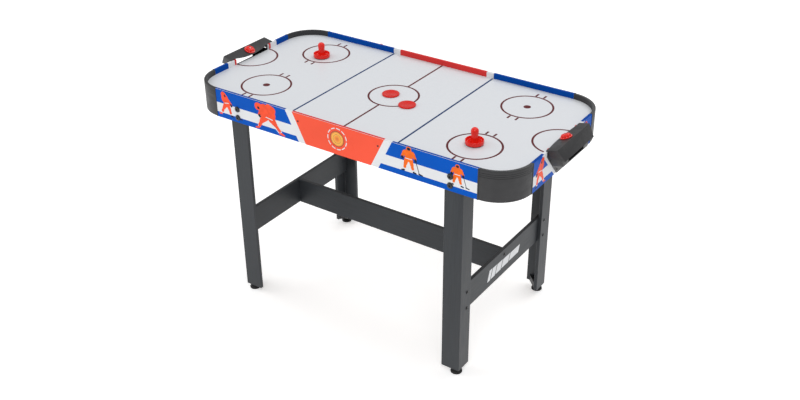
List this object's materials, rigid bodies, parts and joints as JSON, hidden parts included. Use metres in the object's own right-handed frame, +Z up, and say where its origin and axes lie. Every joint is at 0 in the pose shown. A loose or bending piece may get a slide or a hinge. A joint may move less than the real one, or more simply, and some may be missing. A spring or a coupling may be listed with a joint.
{
  "type": "air hockey table",
  "caption": "Air hockey table with rounded corners, L-section legs, stretchers, end goals with turning score dials, pushers, pucks, and a fan that feeds the perforated playing surface.",
  "frame": {"origin": "on the floor, under the centre of the table", "axes": "+X along the table towards its right goal, -Y towards the front apron, +Z up"},
  "size_m": [1.324, 0.6186, 0.809],
  "materials": {
    "white_board": "smooth white laminate with printed lines",
    "printed_film": "fibreboard wrapped in semi-gloss printed film",
    "charcoal_board": "fibreboard wrapped in satin charcoal film",
    "raw_board": "unfinished hardboard and softwood",
    "black_plastic": "moulded, satin",
    "red_plastic": "moulded, glossy",
    "felt": "pressed felt",
    "black_steel": "blackened steel",
    "plated_steel": "zinc plated"
  },
  "bodies": {
    "root": {"back_apron": "printed_film", "bottom_panel": "raw_board", "corner_cap_back_left": "black_plastic", "corner_cap_back_right": "black_plastic", "corner_cap_front_left": "black_plastic", "corner_cap_front_right": "black_plastic", "dial_screw_left": "plated_steel", "dial_screw_right": "plated_steel", "end_stretcher_left": "charcoal_board", "end_stretcher_right": "charcoal_board", "fan_frame": "black_plastic", "fan_guard": "plated_steel", "fan_motor": "plated_steel", "foot_block_back_left": "black_plastic", "foot_block_back_right": "black_plastic", "foot_block_front_left": "black_plastic", "foot_block_front_right": "black_plastic", "front_apron": "printed_film", "goal_box_left": "black_plastic", "goal_box_right": "black_plastic", "goal_hood_left": "black_plastic", "goal_hood_right": "black_plastic", "left_apron": "printed_film", "leg_back_left": "charcoal_board", "leg_back_right": "charcoal_board", "leg_bolt_back_left_lower": "black_steel", "leg_bolt_back_left_upper": "black_steel", "leg_bolt_back_right_lower": "black_steel", "leg_bolt_back_right_upper": "black_steel", "leg_bolt_front_left_lower": "black_steel", "leg_bolt_front_left_upper": "black_steel", "leg_bolt_front_right_lower": "black_steel", "leg_bolt_front_right_upper": "black_steel", "leg_front_left": "charcoal_board", "leg_front_right": "charcoal_board", "long_stretcher": "charcoal_board", "playing_surface": "white_board", "power_inlet": "black_plastic", "right_apron": "printed_film", "spacer_back": "raw_board", "spacer_front": "raw_board", "spacer_left": "raw_board", "spacer_mid_left": "raw_board", "spacer_mid_right": "raw_board", "spacer_right": "raw_board", "switch_housing": "black_plastic"},
    "fan_rotor": {"fan_rotor": "black_plastic"},
    "foot_back_left": {"foot_back_left": "black_plastic"},
    "foot_back_right": {"foot_back_right": "black_plastic"},
    "foot_front_left": {"foot_front_left": "black_plastic"},
    "foot_front_right": {"foot_front_right": "black_plastic"},
    "puck_left": {"puck_left": "red_plastic"},
    "puck_right": {"puck_right": "red_plastic"},
    "pusher_left": {"pusher_felt_left": "felt", "pusher_left": "red_plastic"},
    "pusher_right": {"pusher_felt_right": "felt", "pusher_right": "red_plastic"},
    "score_dial_left": {"score_dial_left": "red_plastic"},
    "score_dial_right": {"score_dial_right": "red_plastic"},
    "switch_rocker": {"switch_rocker": "red_plastic"}
  },
  "joints": [
    {"name": "foot_front_left_screw", "type": "slide", "parent": "root", "child": "foot_front_left", "axis": [0, 0, -1], "range_m": [0, 0.008]},
    {"name": "foot_front_right_screw", "type": "slide", "parent": "root", "child": "foot_front_right", "axis": [0, 0, -1], "range_m": [0, 0.008]},
    {"name": "foot_back_left_screw", "type": "slide", "parent": "root", "child": "foot_back_left", "axis": [0, 0, -1], "range_m": [0, 0.008]},
    {"name": "foot_back_right_screw", "type": "slide", "parent": "root", "child": "foot_back_right", "axis": [0, 0, -1], "range_m": [0, 0.008]},
    {"name": "score_dial_left_turn", "type": "hinge", "parent": "root", "child": "score_dial_left", "pos_m": [-0.6155, 0, 0.7774], "axis": [0.3436, 0, 0.9391], "continuous": true},
    {"name": "score_dial_right_turn", "type": "hinge", "parent": "root", "child": "score_dial_right", "pos_m": [0.6155, 0, 0.7774], "axis": [-0.3436, 0, 0.9391], "continuous": true},
    {"name": "pusher_left_slide", "type": "slide", "parent": "root", "child": "pusher_left", "axis": [1, 0, 0], "range_m": [-0.17, 0.36]},
    {"name": "pusher_right_slide", "type": "slide", "parent": "root", "child": "pusher_right", "axis": [1, 0, 0], "range_m": [-0.36, 0.17]},
    {"name": "puck_left_slide", "type": "slide", "parent": "root", "child": "puck_left", "axis": [1, 0, 0], "range_m": [-0.56, 0.015]},
    {"name": "puck_right_slide", "type": "slide", "parent": "root", "child": "puck_right", "axis": [1, 0, 0], "range_m": [-0.015, 0.49]},
    {"name": "fan_spin", "type": "hinge", "parent": "root", "child": "fan_rotor", "pos_m": [0, 0, 0.7177], "axis": [0, 0, 1], "continuous": true},
    {"name": "switch_rock", "type": "hinge", "parent": "root", "child": "switch_rocker", "pos_m": [0.3, 0.3053, 0.703], "axis": [0, 0, 1], "range_deg": [0, 16]}
  ]
}
